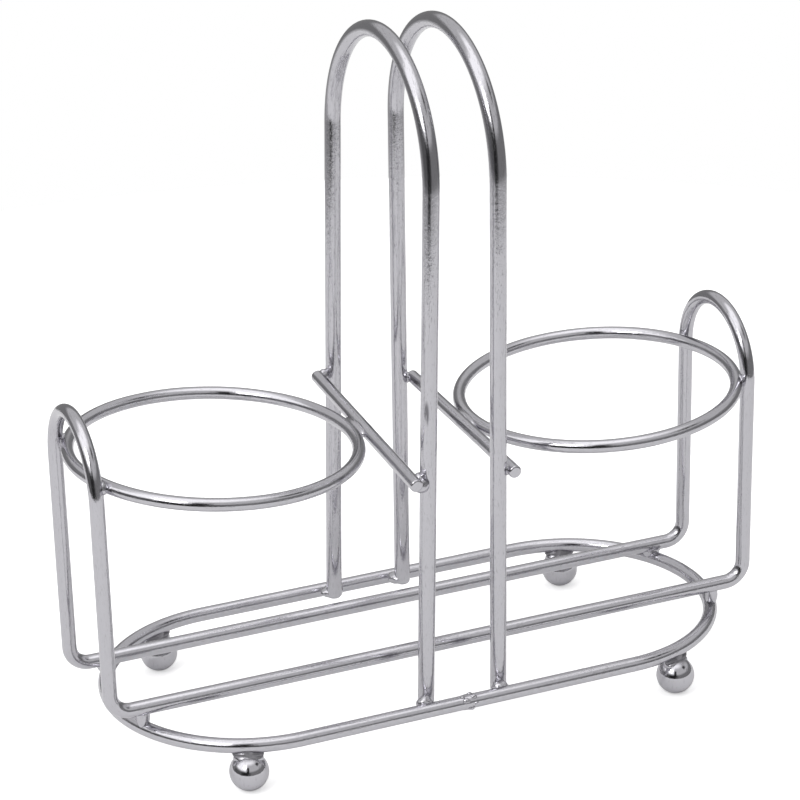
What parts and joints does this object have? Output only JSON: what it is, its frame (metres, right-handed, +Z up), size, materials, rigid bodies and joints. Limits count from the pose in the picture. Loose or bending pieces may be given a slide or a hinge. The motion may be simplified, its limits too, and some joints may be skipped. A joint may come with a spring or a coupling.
{
  "type": "wire caddy for a salt and pepper set",
  "caption": "Plated wire caddy with a tall twin-bow handle, hoops that hold the shakers, end hairpins and ball feet under a rounded base ring.",
  "frame": {"origin": "on the ground, at the middle of the base ring between the ball feet", "axes": "+X along the length towards the right-hand hoop, +Y to the rear, +Z up; the butt weld of the base ring is on the -Y side"},
  "size_m": [0.1737, 0.076, 0.1718],
  "materials": {
    "plated_wire": "bright plating, slightly pitted on the straight legs",
    "plated_ball": "bright plating",
    "plated_weld": "bright plating over a lumpy weld"
  },
  "bodies": {
    "root": {"base_ring": "plated_wire", "frame_wire": "plated_wire", "handle_bow_left": "plated_wire", "handle_bow_right": "plated_wire", "crossbar_left": "plated_wire", "crossbar_right": "plated_wire", "shaker_ring_left": "plated_wire", "shaker_ring_right": "plated_wire", "foot_front_left": "plated_ball", "foot_front_right": "plated_ball", "foot_rear_left": "plated_ball", "foot_rear_right": "plated_ball", "rail_welds": "plated_weld", "bow_welds": "plated_weld", "crossbar_welds": "plated_weld", "ring_welds": "plated_weld"}
  },
  "joints": []
}
